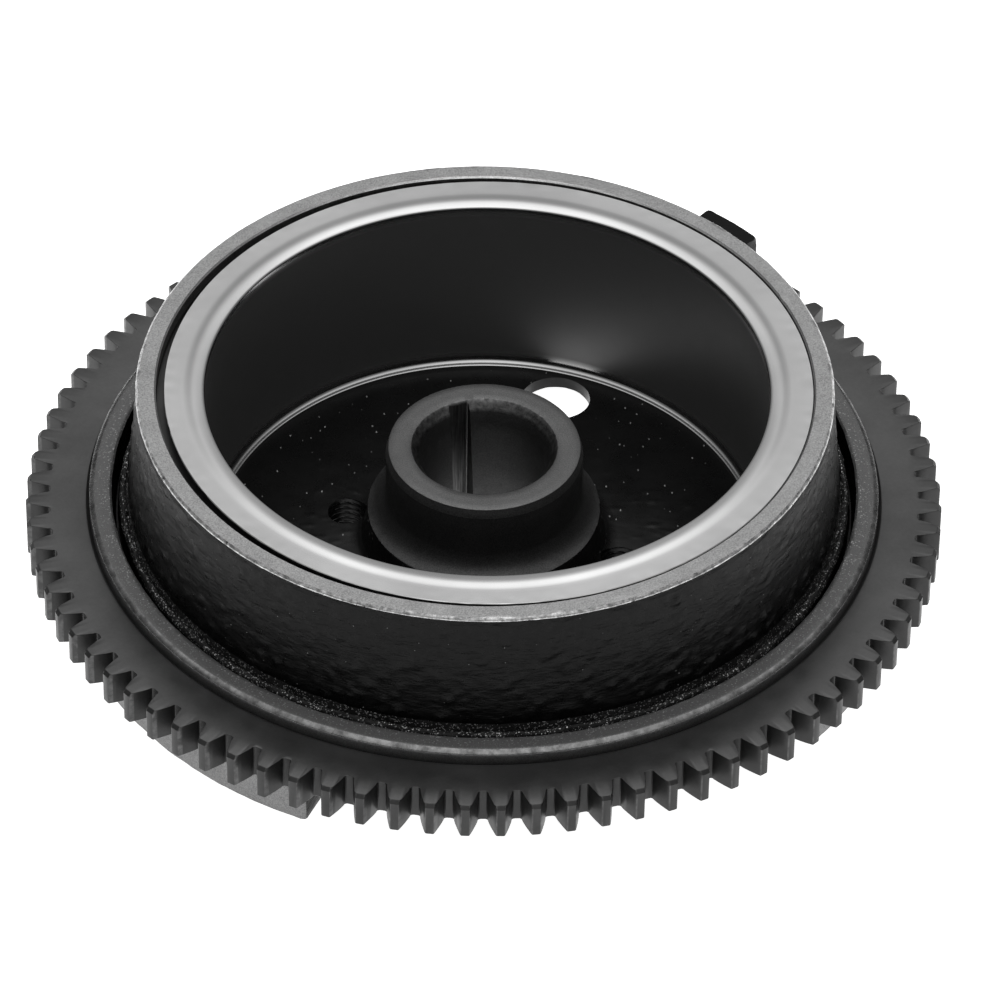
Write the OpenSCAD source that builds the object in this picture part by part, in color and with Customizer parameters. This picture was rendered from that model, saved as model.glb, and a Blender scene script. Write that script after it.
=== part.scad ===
// Magneto flywheel: a cast-iron cup with a keyed hub, a shrunk-on starter ring gear and a
// ring of arc magnets sealed behind a pressed stainless liner.
// Millimetres, +Z up. The origin is on the crankshaft axis, in the face of the flat boss on the
// closed side, so the open side of the cup faces +Z. Heights below are taken from the foot of
// the three pads, and every sub-part is then raised by boss_drop.

/* [Output] */
// Which sub-part to draw, or "all" for the whole flywheel

/* [Cup] */
// Outside radius of the cup wall at the machined rim
rim_r = 81; // [80:0.1:82]
// Inside radius of the cup wall
cup_in_r = 76.4; // [76.3:0.1:77]
// Height of the rim face above the foot of the pads
rim_z = 54.5; // [54.3:0.1:56]
// Outside radius of the cup wall where it meets the groove
wall_base_r = 83.4; // [83:0.1:83.6]
// Width and height of the chamfer on the outer edge of the rim
rim_chamfer = 0.5; // [0.4:0.1:1.2]
// Height of the floor at the foot of the cup wall
floor_z = 5.2; // [4.8:0.1:5.6]
// Height of the floor where it meets the hub boss
floor_hub_z = 7.6; // [7:0.1:8]
// Depth of the shallow recess on the underside of the web
web_recess = 2.2; // [1.5:0.1:2.6]

/* [Gear seat] */
// Radius of the machined seat that carries the ring gear
seat_r = 92.6; // [92:0.1:93]
// Height of the raised lip inside the ring gear
lip_z = 24.3; // [24:0.1:25]
// Inside radius of that lip, at the groove
lip_in_r = 87.3; // [87:0.1:87.6]
// Height of the bottom of the groove between lip and wall
groove_z = 17.5; // [15:0.5:19]

/* [Pads] */
// Outside radius of the three machined pads under the gear
pad_r = 98.9; // [97:0.1:100]
// Height of the pads, which is where the gear rests
pad_h = 12.4; // [11.5:0.1:12.6]
// Angle covered by one pad, in degrees
pad_span = 45; // [30:1:60]
// Angle of the middle of the first pad, in degrees
pad_at = -136; // [-180:1:180]

/* [Hub] */
// Outside radius of the turned hub neck
neck_r = 23.1; // [22.5:0.1:23.5]
// Outside radius of the flat top of the hub
hub_top_r = 22.4; // [22:0.1:22.4]
// Height of the top of the hub
hub_z = 35.4; // [34:0.1:37]
// Radius of the sharp edge where the turned flare meets the cast boss
flare_r = 27.3; // [26.8:0.1:27.4]
// Radius of the concave flare under the neck
flare_fillet = 6; // [5.5:0.1:6.5]
// Radius of the flat boss on the underside
boss_r = 44; // [42:0.5:46]
// How far that boss stands below the foot of the pads
boss_drop = 3; // [2.5:0.1:4]

/* [Bore] */
// Bore radius at the large end, under the mouth chamfer
bore_big_r = 15.4; // [15:0.1:15.6]
// Length of the tapered bore over which its diameter changes by 1
bore_taper = 5; // [5:0.5:10]
// Radius of the mouth chamfer
bore_mouth_r = 17.1; // [16.8:0.1:17.5]
// Height of the foot of the mouth chamfer
bore_mouth_z = 32.9; // [32:0.1:33.2]
// Height where the taper ends and the bore runs parallel
bore_land_z = 10; // [8:0.5:12]
// Width of the keyway
key_w = 5; // [4:0.1:6]
// Distance from the axis to the floor of the keyway
key_r = 16.6; // [16.2:0.1:17]
// Angle of the keyway round the axis, in degrees
key_at = 112.5; // [0:0.5:360]

/* [Web holes] */
// Radius of the through hole in the web
port_r = 8.2; // [6:0.1:9]
// Distance of the through hole from the axis
port_at_r = 55; // [54:0.1:55.5]
// Angle of the through hole, in degrees
port_at = 72; // [30:1:110]
// Wall radius of the two threaded puller holes
puller_r = 4.25; // [3:0.05:4.5]
// Distance of the puller holes from the axis
puller_at_r = 33.5; // [33:0.1:35]
// Angle of the first puller hole, in degrees
puller_at = 166; // [150:1:200]

/* [Trigger lug] */
// Outside radius of the trigger lug
lug_r = 86.7; // [85:0.1:88]
// Angle where the lug starts, in degrees
lug_from = 42; // [0:1:60]
// Angle covered by the lug, in degrees
lug_span = 10.6; // [8:0.1:16]
// Height of the underside of the lug
lug_z0 = 33.5; // [28:0.5:40]
// Height of the top of the lug
lug_z1 = 51.5; // [48:0.5:52]

/* [Ring gear] */
// Gear module
gear_m = 2.5; // [2.45:0.01:2.5]
// Number of teeth
gear_n = 84; // [84:4:84]
// Thickness of the ring gear
gear_h = 8.8; // [7:0.1:9]
// Pressure angle, in degrees
gear_pa = 20; // [18:0.5:22]
// Angle of the first tooth, in degrees
gear_at = 2.67; // [0:0.01:4.28]

/* [Liner] */
// Outside radius of the liner's flat flange
liner_flange_r = 75.4; // [75:0.1:75.6]
// Height of the flange's face
liner_z = 54; // [53.8:0.1:54.2]
// Height of the low ridge that runs round the flange near its inner edge
liner_ridge = 0.16; // [0.1:0.02:0.3]
// Inside radius of the liner's wall
liner_r = 65.6; // [65:0.1:65.6]
// Sheet thickness of the liner
liner_t = 0.8; // [0.6:0.1:0.9]
// How far the liner sits to one side of the axis
liner_shift = 0.5; // [0:0.1:0.5]

/* [Magnets] */
// Inside radius of the magnet arcs
magnet_in_r = 67; // [66.9:0.1:67.5]
// Height of the foot of the magnets
magnet_z0 = 8.2; // [8:0.1:9]
// Length of the magnets along the axis
magnet_h = 37; // [34:0.5:38]
// Angle covered by one magnet, in degrees
magnet_span = 26.4; // [24:0.1:27]

/* [Hidden] */
$fn = 96;
eps = 0.01;
magnet_n = 12;
magnet_step = 360 / magnet_n;
magnet_z1 = magnet_z0 + magnet_h;
ring_gap = 0.1;
wall_foot_z = lip_z + 0.2;
mouth_slope = (bore_mouth_r - bore_big_r) / (hub_z - bore_mouth_z);
bore_small_r = bore_big_r - (bore_mouth_z - bore_land_z) / bore_taper / 2;
gear_z0 = pad_h;
gear_z1 = gear_z0 + gear_h;
gear_pitch_r = gear_m * gear_n / 2;
gear_tip_r = gear_pitch_r + gear_m;
gear_root_r = gear_pitch_r - 1.25 * gear_m;
gear_base_r = gear_pitch_r * cos(gear_pa);
tip_chamfer = 0.9;
flare_c = [neck_r + flare_fillet, 22.4];
flare_end = acos((flare_c[0] - flare_r) / flare_fillet);

function polar(r, a) = [r * cos(a), r * sin(a)];
function arc(r, a0, a1, n) = [for (i = [0 : n]) polar(r, a0 + (a1 - a0) * i / n)];
function deg(x) = x * 180 / PI;
// Involute angle, in degrees, of a point at radius r on a gear with base radius b
function inv_at(r, b) = let (t = sqrt(max(0, pow(r / b, 2) - 1))) deg(t) - atan(t);
// Half the tooth's angle at radius r
function tooth_half(r) = 90 / gear_n + inv_at(gear_pitch_r, gear_base_r) - inv_at(r, gear_base_r);

// One tooth: root, fillet, flank, tip, and the same back down
tooth_r = [for (i = [0 : 4]) gear_root_r + 0.9 + (gear_tip_r - gear_root_r - 0.9) * i / 4];
function tooth(a) = concat(
    [polar(gear_root_r, a - tooth_half(gear_root_r + 0.9) - 0.42),
     polar(gear_root_r + 0.22, a - tooth_half(gear_root_r + 0.9) - 0.12)],
    [for (r = tooth_r) polar(r, a - tooth_half(r))],
    [for (i = [4 : -1 : 0]) polar(tooth_r[i], a + tooth_half(tooth_r[i]))],
    [polar(gear_root_r + 0.22, a + tooth_half(gear_root_r + 0.9) + 0.12),
     polar(gear_root_r, a + tooth_half(gear_root_r + 0.9) + 0.42)]);

flare = [for (i = [0 : 6]) let (a = 180 + flare_end * i / 6)
         [flare_c[0] + flare_fillet * cos(a), flare_c[1] + flare_fillet * sin(a)]];

// Half section of the turned casting, from the underside round to the top of the hub
casting_outline = concat(
    [[0, -boss_drop], [boss_r, -boss_drop], [boss_r + 2.6, web_recess], [77.8, web_recess],
     [79.6, 0.4], [86, 0.4], [87, 1.4], [87, 8], [seat_r, pad_h - 1], [seat_r, lip_z - 0.7],
     [seat_r - 0.7, lip_z], [lip_in_r, lip_z], [lip_in_r - 0.4, groove_z + 0.6],
     [lip_in_r - 0.9, groove_z], [86, groove_z], [85.7, lip_z - 1.4], [84.6, lip_z - 1.1],
     [84.3, lip_z - 2.6], [wall_base_r + 0.3, lip_z - 2.4], [wall_base_r, wall_foot_z],
     [rim_r + 0.3, 49], [rim_r, rim_z - 1.6], [rim_r, rim_z - rim_chamfer],
     [rim_r - rim_chamfer, rim_z], [cup_in_r + 0.3, rim_z], [cup_in_r, rim_z - 0.3],
     [cup_in_r, floor_z], [62, floor_z], [30.4, floor_hub_z], [28.8, floor_hub_z + 0.8],
     [27.8, 12]],
    [for (i = [6 : -1 : 0]) flare[i]],
    [[neck_r, hub_z - 2.3], [hub_top_r, hub_z], [0, hub_z]]);

// Half section of the space bored out of the hub, from under the feet to above the mouth
bore_outline = [[0, -boss_drop - 1], [18, -boss_drop - 1], [18, 0], [bore_small_r, 0],
                [bore_small_r, bore_land_z],
                [bore_big_r, bore_mouth_z], [bore_mouth_r, hub_z],
                [bore_mouth_r + mouth_slope, hub_z + 1], [0, hub_z + 1]];

// Half section of a puller hole, chamfered at both ends
puller_outline = [[0, -boss_drop - 1], [puller_r + 2, -boss_drop - 1],
                  [puller_r, 1 - boss_drop], [puller_r, floor_hub_z - 0.8],
                  [puller_r + 1.6, floor_hub_z + 0.8], [0, floor_hub_z + 0.8]];

// Half section of the liner: its bright face from the flange down to the foot, then its back
liner_face = [[liner_flange_r, liner_z], [70.4, liner_z], [69.6, liner_z + liner_ridge / 3],
              [68.2, liner_z + liner_ridge], [67, liner_z + liner_ridge / 2],
              [liner_r + 0.55, liner_z], [liner_r + 0.16, liner_z - 0.16], [liner_r, liner_z - 0.55],
              [liner_r, 7.3], [liner_r - 0.3, 6.6], [liner_r - 0.9, 6.12], [liner_r - 1.7, 6],
              [liner_r - 1.7, floor_z]];
liner_back = [[liner_r + liner_t, floor_z], [liner_r + liner_t, liner_z - liner_t - 0.3],
              [liner_r + liner_t + 0.3, liner_z - liner_t],
              [68.2, liner_z + liner_ridge - liner_t], [70.4, liner_z - liner_t],
              [liner_flange_r, liner_z - liner_t]];

module pad() {
    linear_extrude(height = pad_h)
        polygon(concat(arc(80, -pad_span / 2, pad_span / 2, 24),
                       arc(pad_r, pad_span / 2, -pad_span / 2, 36)));
}

module trigger_lug() {
    translate([0, 0, lug_z0]) linear_extrude(height = lug_z1 - lug_z0)
        polygon(concat([polar(79.5, lug_from - 0.2)],
                       [polar(lug_r - 0.9, lug_from), polar(lug_r - 0.2, lug_from + 0.25)],
                       arc(lug_r, lug_from + 0.7, lug_from + lug_span - 0.7, 8),
                       [polar(lug_r - 0.2, lug_from + lug_span - 0.25),
                        polar(lug_r - 0.9, lug_from + lug_span)],
                       [polar(79.5, lug_from + lug_span + 0.2)]));
}

module crank_bore() {
    rotate_extrude() polygon(bore_outline);
    rotate([0, 0, key_at]) translate([0, -key_w / 2, -boss_drop - 1])
        cube([key_r, key_w, hub_z + boss_drop + 3]);
}

module puller_hole() rotate_extrude() polygon(puller_outline);

module raised() translate([0, 0, boss_drop]) children();

module flywheel_casting() {
    color([0.09, 0.09, 0.09])
    raised() difference() {
        union() {
            rotate_extrude() polygon(casting_outline);
            for (i = [0 : 2]) rotate([0, 0, pad_at + 120 * i]) pad();
            trigger_lug();
        }
        crank_bore();
        for (i = [0 : 1]) rotate([0, 0, puller_at + 180 * i]) translate([puller_at_r, 0, 0])
            puller_hole();
        rotate([0, 0, port_at]) translate([port_at_r, 0, -1]) cylinder(r = port_r, h = 12);
    }
}

module ring_gear() {
    color([0.16, 0.17, 0.18])
    raised() translate([0, 0, gear_z0]) difference() {
        rotate([0, 0, gear_at]) intersection() {
            linear_extrude(height = gear_h)
                polygon([for (i = [0 : gear_n - 1]) each tooth(360 * i / gear_n)]);
            rotate_extrude() polygon([[0, -1], [gear_tip_r + 2, -1],
                [gear_tip_r + 2, gear_h - tip_chamfer - 2], [gear_tip_r - tip_chamfer, gear_h + eps],
                [0, gear_h + eps]]);
        }
        translate([0, 0, -1]) cylinder(r = seat_r, h = gear_h + 2);
    }
}

module magnet_liner() {
    color([0.72, 0.72, 0.72])
    raised() translate([liner_shift, 0, 0]) rotate_extrude()
        polygon(concat(liner_face, liner_back));
}

module potting_ring() {
    color([0.05, 0.05, 0.05])
    raised() translate([0, 0, magnet_z1 + ring_gap]) difference() {
        cylinder(r = cup_in_r - ring_gap, h = 50.4 - magnet_z1);
        translate([0, 0, -1]) cylinder(r = magnet_in_r, h = 60);
    }
}

module magnet_spacer() {
    color([0.12, 0.12, 0.13])
    raised() difference() {
        translate([0, 0, floor_z]) cylinder(r = cup_in_r - ring_gap, h = magnet_z1 - floor_z);
        translate([0, 0, -1]) cylinder(r = magnet_in_r, h = 60);
        for (i = [0 : magnet_n - 1])
            rotate([0, 0, magnet_step * i]) translate([0, 0, magnet_z0 - ring_gap])
                wedge(magnet_span + 0.2, magnet_h + 2);
    }
}

module wedge(span, h) {
    linear_extrude(height = h) polygon([[0, 0], polar(90, -span / 2), polar(90, span / 2)]);
}

module magnet(i) {
    color([0.25, 0.25, 0.26])
    raised() rotate([0, 0, magnet_step * i]) translate([0, 0, magnet_z0]) intersection() {
        difference() {
            cylinder(r = cup_in_r - ring_gap, h = magnet_h);
            translate([0, 0, -1]) cylinder(r = magnet_in_r, h = magnet_h + 2);
        }
        translate([0, 0, -1]) wedge(magnet_span, magnet_h + 2);
    }
}

module magnet_01() magnet(0);
module magnet_02() magnet(1);
module magnet_03() magnet(2);
module magnet_04() magnet(3);
module magnet_05() magnet(4);
module magnet_06() magnet(5);
module magnet_07() magnet(6);
module magnet_08() magnet(7);
module magnet_09() magnet(8);
module magnet_10() magnet(9);
module magnet_11() magnet(10);
module magnet_12() magnet(11);

flywheel_casting();
ring_gear();
magnet_liner();
potting_ring();
magnet_spacer();
magnet_01();
magnet_02();
magnet_03();
magnet_04();
magnet_05();
magnet_06();
magnet_07();
magnet_08();
magnet_09();
magnet_10();
magnet_11();
magnet_12();
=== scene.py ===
"""Magneto flywheel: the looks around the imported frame.

Sections are in millimetres and angles in degrees, and become metres when a mesh is made. Their
heights start at the foot of the pads, which stands BOSS_DROP above the boss that carries the part.
"""
import math

import bpy
import numpy as np
from mathutils import Matrix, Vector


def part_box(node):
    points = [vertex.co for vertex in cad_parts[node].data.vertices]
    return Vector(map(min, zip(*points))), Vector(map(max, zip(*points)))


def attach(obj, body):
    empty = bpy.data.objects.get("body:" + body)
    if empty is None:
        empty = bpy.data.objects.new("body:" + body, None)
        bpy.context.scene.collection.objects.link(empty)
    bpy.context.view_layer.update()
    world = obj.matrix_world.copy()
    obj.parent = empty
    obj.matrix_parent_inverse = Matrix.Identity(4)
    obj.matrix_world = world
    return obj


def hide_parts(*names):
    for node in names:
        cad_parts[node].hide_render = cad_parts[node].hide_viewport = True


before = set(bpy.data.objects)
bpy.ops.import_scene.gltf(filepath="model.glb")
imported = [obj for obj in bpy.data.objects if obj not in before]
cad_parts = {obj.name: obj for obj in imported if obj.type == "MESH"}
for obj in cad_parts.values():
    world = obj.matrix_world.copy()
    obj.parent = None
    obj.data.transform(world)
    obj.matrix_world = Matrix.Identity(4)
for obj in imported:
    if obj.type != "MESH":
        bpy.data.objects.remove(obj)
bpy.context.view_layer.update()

MM = 0.001
FULL = 360.0

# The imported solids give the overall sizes
gear_low, gear_high = (np.array(corner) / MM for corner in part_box("ring_gear"))
cast_high = np.array(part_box("flywheel_casting")[1]) / MM

# Cup
BOSS_DROP = 3.0
RIM_R, RIM_Z, RIM_CHAMFER = 81.0, float(cast_high[2]) - BOSS_DROP, 0.5
CUP_IN_R = 76.4
WALL_BASE_R, WALL_BASE_Z = 83.4, 24.5
WALL_DRAFT = (WALL_BASE_R - 81.3) / (49.0 - WALL_BASE_Z)
FLOOR_Z, FLOOR_HUB_Z = 5.2, 7.6
WEB_RECESS = 2.2
# Gear seat, its lip and the groove behind it
SEAT_R, LIP_Z, LIP_IN_R, GROOVE_Z = 92.6, 24.3, 87.3, 17.5
# Pads under the gear
PAD_R, PAD_H, PAD_SPAN = 98.9, 12.4, 45.0
PAD_STARTS = [-136.0 - PAD_SPAN / 2 + 120 * i for i in range(3)]
# Hub and bore
NECK_R, HUB_TOP_R, HUB_Z = 23.1, 22.4, 35.4
FLARE_R, FLARE_FILLET, FLARE_Z = 27.3, 6.0, 22.4
BOSS_R = 44.0
BORE_MOUTH_R, BORE_BIG_R, BORE_MOUTH_Z, BORE_LAND_Z = 17.1, 15.4, 32.9, 10.0
BORE_SMALL_R = BORE_BIG_R - (BORE_MOUTH_Z - BORE_LAND_Z) / 10
KEY_W, KEY_R, KEY_AT = 5.0, 16.6, 112.5
# Holes through the web
PORT_R, PORT_AT_R, PORT_AT = 8.2, 55.0, 72.0
PULLER_R, PULLER_AT_R, PULLER_AT = 4.25, 33.5, 166.0
THREAD_PITCH, THREAD_DEPTH = 1.5, 0.72
# Trigger lug
LUG_R, LUG_FROM, LUG_SPAN, LUG_Z0, LUG_Z1, LUG_DRAFT = 86.8, 42.0, 10.6, 33.5, 52.0, 0.9
# Ring gear
GEAR_TEETH, GEAR_AT, PRESSURE = 84, 2.67, 20.0
GEAR_TIP_R = float(np.hypot(*gear_high[:2]) / math.sqrt(2))
GEAR_FACE_LOW_R, GEAR_FACE_HIGH_R = 100.6, 101.0  # where the plain faces end, inside the roots
GEAR_Z0, GEAR_Z1 = float(gear_low[2]) - BOSS_DROP, float(gear_high[2]) - BOSS_DROP
# Liner
LINER_R, LINER_FLANGE_R, LINER_Z, LINER_T = 65.6, 75.4, 54.0, 0.8
LINER_RIDGE_R, LINER_RIDGE, LINER_SHIFT, FLANGE_SHIFT = 68.2, 0.22, 0.5, 0.35


# ---------------------------------------------------------------- noise

def hashed(cell, salt):
    """A repeatable number from 0 to 1 for each whole-numbered cell."""
    c = cell.astype(np.uint64)
    h = c[:, 0] * np.uint64(374761393) + c[:, 1] * np.uint64(668265263)
    h = h + c[:, 2] * np.uint64(2246822519) + np.uint64(salt) * np.uint64(3266489917)
    h = (h ^ (h >> np.uint64(15))) * np.uint64(2654435761)
    h = (h ^ (h >> np.uint64(13))) * np.uint64(1274126177)
    return ((h ^ (h >> np.uint64(16))) & np.uint64(0xFFFFFF)).astype(float) / 0xFFFFFF


def lumps(points, size, salt):
    """Smooth noise, about -1 to 1, with lumps about size across."""
    q = points / size
    base = np.floor(q).astype(np.int64)
    f = q - base
    ease = f ** 3 * (f * (f * 6 - 15) + 10)
    total = np.zeros(len(points))
    for i in range(8):
        corner = np.array([i & 1, i >> 1 & 1, i >> 2 & 1])
        slope = np.stack([hashed(base + corner, 3 * salt + k) for k in range(3)], 1) * 2 - 1
        share = np.prod(np.where(corner == 1, ease, 1 - ease), 1)
        total += share * np.einsum("ij,ij->i", slope, f - corner)
    return total * 1.5


def nodules(points, centres, radii, heights, length=1.0):
    """Bumps of the given radii and heights on the given centres, drawn out by length along Z."""
    rise = np.zeros(len(points))
    drawn = np.array([1, 1, 1 / length])
    for centre, radius, height in zip(centres, radii, heights):
        near = np.nonzero(np.abs((points - centre) * drawn).max(1) < radius)[0]
        far = (((points[near] - centre) * drawn) ** 2).sum(1) / radius ** 2
        rise[near] += height * np.clip(1 - far, 0, 1) ** 2
    return rise


# ---------------------------------------------------------------- meshes

class Section:
    """A closed half section, walked with the solid on its left.

    Each row holds its place, its place where the second form applies, its skin's roughness and
    the finish of the strip that follows it."""

    def __init__(self):
        self.rows = []

    def run(self, points, step, finish, skin=0.0, other=None):
        """Adds rows about every step along points, up to but not including the last one."""
        other = other or points
        skins = [skin] * len(points) if np.isscalar(skin) else skin
        for i in range(len(points) - 1):
            a, b = np.array(points[i]), np.array(points[i + 1])
            c, d = np.array(other[i]), np.array(other[i + 1])
            n = max(1, math.ceil(np.linalg.norm(b - a) / step - 1e-6))
            for k in range(n):
                t = k / n
                self.rows.append((a + (b - a) * t, c + (d - c) * t,
                                  skins[i] + (skins[i + 1] - skins[i]) * t, finish))

    def table(self, i):
        return np.array([row[i] for row in self.rows])


def spread(stops, widest):
    """Angles from stops[0] to a full turn later that hold every stop, no further apart than widest."""
    out = []
    ends = stops[1:] + [stops[0] + FULL]
    for a, b in zip(stops, ends):
        n = max(1, math.ceil((b - a) / widest))
        out += [a + (b - a) * k / n for k in range(n)]
    return np.array(out)


def turned(r, z, angles):
    """Points of a grid of rows and columns, from radii, heights and angles that broadcast."""
    a = np.radians(angles)
    return np.stack(np.broadcast_arrays(r * np.cos(a), r * np.sin(a), z), -1).astype(float)


def grid_normals(p):
    """Outward unit normals of a grid that closes on itself both ways."""
    along = np.roll(p, -1, 1) - np.roll(p, 1, 1)
    across = np.roll(p, -1, 0) - np.roll(p, 1, 0)
    n = np.cross(along, across)
    return n / np.maximum(np.linalg.norm(n, axis=2, keepdims=True), 1e-12)


def grid_faces(rows, cols, wrap=True):
    """Quads of a grid whose columns close, and whose rows close too if wrap is set."""
    i, j = np.meshgrid(np.arange(rows if wrap else rows - 1), np.arange(cols), indexing="ij")
    i2, j2 = (i + 1) % rows, (j + 1) % cols
    return np.stack([i * cols + j, i * cols + j2, i2 * cols + j2, i2 * cols + j], -1).reshape(-1, 4)


def make(name, points, faces, finishes, slots=None, sharp=35.0):
    """A mesh object from points in millimetres, with its finishes and smooth shading."""
    mesh = bpy.data.meshes.new(name)
    raised = (points.reshape(-1, 3) + np.array([0, 0, BOSS_DROP])) * MM
    mesh.from_pydata(raised.tolist(), [], [list(map(int, f)) for f in faces])
    for finish in finishes:
        mesh.materials.append(finish)
    if slots is not None:
        mesh.polygons.foreach_set("material_index", np.asarray(slots, np.int32))
    mesh.shade_smooth()
    mesh.set_sharp_from_angle(angle=math.radians(sharp))
    ob = bpy.data.objects.new(name, mesh)
    bpy.context.scene.collection.objects.link(ob)
    return ob


def capped(points, faces, cols):
    """Faces of an open tube with its two ends closed."""
    last = len(points.reshape(-1, 3)) - cols
    return [*faces, list(range(cols))[::-1], list(range(last, last + cols))]


# ---------------------------------------------------------------- finishes

class Finish:
    """A material, with short ways to add nodes to its Principled shader."""

    def __init__(self, name, **sockets):
        self.material = bpy.data.materials.new(name)
        self.material.use_nodes = True
        self.tree = self.material.node_tree
        self.shader = self.tree.nodes["Principled BSDF"]
        self.place = self.node("ShaderNodeTexCoord").outputs["Object"]
        self.normal = None
        for socket, value in sockets.items():
            self.shader.inputs[socket.replace("_", " ")].default_value = value

    def node(self, kind, inputs=None, **settings):
        node = self.tree.nodes.new(kind)
        for key, value in settings.items():
            setattr(node, key, value)
        for key, value in (inputs or {}).items():
            if isinstance(value, bpy.types.NodeSocket):
                self.tree.links.new(value, node.inputs[key])
            else:
                node.inputs[key].default_value = value
        return node

    def maths(self, operation, *values):
        return self.node("ShaderNodeMath", dict(enumerate(values)), operation=operation).outputs[0]

    def noise(self, size_mm, detail=3.0, rough=0.6, vector=None):
        inputs = {"Vector": vector or self.place, "Scale": 1 / (size_mm * MM), "Detail": detail,
                  "Roughness": rough}
        return self.node("ShaderNodeTexNoise", inputs).outputs["Fac"]

    def cells(self, size_mm, output="Distance", vector=None):
        inputs = {"Vector": vector or self.place, "Scale": 1 / (size_mm * MM)}
        return self.node("ShaderNodeTexVoronoi", inputs).outputs[output]

    def facets(self, size_mm):
        """A steady random value for each crystal of the metal."""
        return self.node("ShaderNodeSeparateColor", {0: self.cells(size_mm, "Color")}).outputs[0]

    def parts(self):
        return self.node("ShaderNodeSeparateXYZ", {0: self.place}).outputs

    def radius(self):
        """Distance from the crank axis, in metres."""
        x, y, _ = self.parts()
        return self.maths("SQRT", self.maths("ADD", self.maths("MULTIPLY", x, x),
                                             self.maths("MULTIPLY", y, y)))

    def rings(self, size_mm, detail=3.0):
        """Noise that runs in circles round the crank axis, as a lathe tool leaves it."""
        turns = self.maths("DIVIDE", self.radius(), size_mm * MM)
        inputs = {"W": turns, "Scale": 1.0, "Detail": detail, "Roughness": 0.7}
        return self.node("ShaderNodeTexNoise", inputs, noise_dimensions="1D").outputs["Fac"]

    def stretched(self, x, y, z):
        """Coordinates multiplied along each axis; below 1 draws a pattern out that way."""
        return self.node("ShaderNodeVectorMath", {0: self.place, 1: (x, y, z)},
                         operation="MULTIPLY").outputs[0]

    def ramp(self, value, *stops):
        """A colour ramp through (position, grey or colour) stops."""
        node = self.node("ShaderNodeValToRGB", {"Fac": value})
        elements = node.color_ramp.elements
        while len(elements) < len(stops):
            elements.new(0.5)
        for element, (at, colour) in zip(elements, stops):
            element.position = at
            element.color = (*([colour] * 3 if np.isscalar(colour) else colour), 1)
        return node.outputs["Color"]

    def mix(self, share, a, b):
        node = self.node("ShaderNodeMix", data_type="RGBA")
        for socket, value in zip((node.inputs[0], node.inputs[6], node.inputs[7]), (share, a, b)):
            if isinstance(value, bpy.types.NodeSocket):
                self.tree.links.new(value, socket)
            else:
                socket.default_value = value
        return node.outputs[2]

    def span(self, value, low, high, to_low=0.0, to_high=1.0):
        inputs = {"Value": value, "From Min": low, "From Max": high, "To Min": to_low,
                  "To Max": to_high}
        return self.node("ShaderNodeMapRange", inputs).outputs["Result"]

    def bump(self, height, distance_mm, strength=1.0):
        inputs = {"Height": height, "Distance": distance_mm * MM, "Strength": strength}
        if self.normal:
            inputs["Normal"] = self.normal
        self.normal = self.node("ShaderNodeBump", inputs).outputs["Normal"]

    def wire(self, **sockets):
        """Links values to the shader, adds the bumps and gives the material."""
        if self.normal:
            sockets["Normal"] = self.normal
        for socket, value in sockets.items():
            self.tree.links.new(value, self.shader.inputs[socket.replace("_", " ")])
        return self.material


def paint_nodes(f, grit=0.0):
    """Colour and roughness of thick black paint over sand-cast iron, with its bumps added."""
    streaks = f.noise(1.15, 3.0, 0.6, f.stretched(0.42, 0.42, 1.25))
    grains = f.noise(0.45, 2.0, 0.5)
    f.bump(streaks, 0.17, 0.9)
    f.bump(grains, 0.05, 0.5 + grit)
    # Light grey specks in patches: partly dust and bare iron, partly painted glints on the paint.
    dust_and_glint = f.span(f.cells(2.3), 0.0, 0.07, 1.0, 0.0)
    worn = f.maths("MULTIPLY", dust_and_glint, f.span(f.noise(6.0, 2.0), 0.42, 0.6))
    f.bump(dust_and_glint, 0.10, 0.8)
    black = f.ramp(f.noise(8.0, 4.0), (0.3, 0.0008 + 0.004 * grit), (0.7, 0.0022 + 0.012 * grit))
    rough = f.ramp(f.noise(2.2, 3.0), (0.3, 0.24 + 0.2 * grit), (0.7, 0.38 + 0.2 * grit))
    return f.mix(worn, black, (0.5, 0.5, 0.5, 1)), rough


def black_paint():
    f = Finish("black_paint", Specular_IOR_Level=0.12)
    colour, rough = paint_nodes(f)
    return f.wire(Base_Color=colour, Roughness=rough)


def flash_paint():
    """The ragged ridge of casting flash: sandy, thinly painted, with bare grains that glint."""
    f = Finish("flash_paint", Specular_IOR_Level=0.3)
    colour, rough = paint_nodes(f, grit=1.0)
    facet = f.facets(0.26)
    bare = f.ramp(facet, (0.88, 0.0), (0.95, 1.0))
    f.bump(f.noise(0.9, 3.0, 0.7), 0.35, 0.9)
    f.bump(facet, 0.14, 0.8)
    return f.wire(Base_Color=f.mix(bare, colour, (0.6, 0.6, 0.6, 1)), Roughness=rough,
                  Metallic=bare)


def floor_paint():
    """The same paint where it has flowed out glossy over the web."""
    f = Finish("floor_paint", Specular_IOR_Level=0.22)
    # Light grey specks in patches: partly dust, partly painted glints on the glossy paint.
    dust_and_glint = f.span(f.cells(2.2, vector=f.stretched(1.0, 0.55, 1.0)), 0.0, 0.11, 1.5, 0.0)
    patchy = f.maths("MULTIPLY", dust_and_glint, f.span(f.noise(9.0, 2.0), 0.38, 0.5))
    f.bump(f.noise(3.0, 3.0), 0.05, 0.35)
    f.bump(f.noise(0.6, 2.0), 0.02, 0.4)
    f.bump(dust_and_glint, 0.08, 0.8)
    black = f.ramp(f.noise(12.0, 3.0), (0.3, 0.0035), (0.7, 0.0065))
    rough = f.ramp(f.noise(4.0, 3.0), (0.3, 0.24), (0.7, 0.36))
    return f.wire(Base_Color=f.mix(patchy, black, (0.35, 0.35, 0.35, 1)), Roughness=rough)


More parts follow.
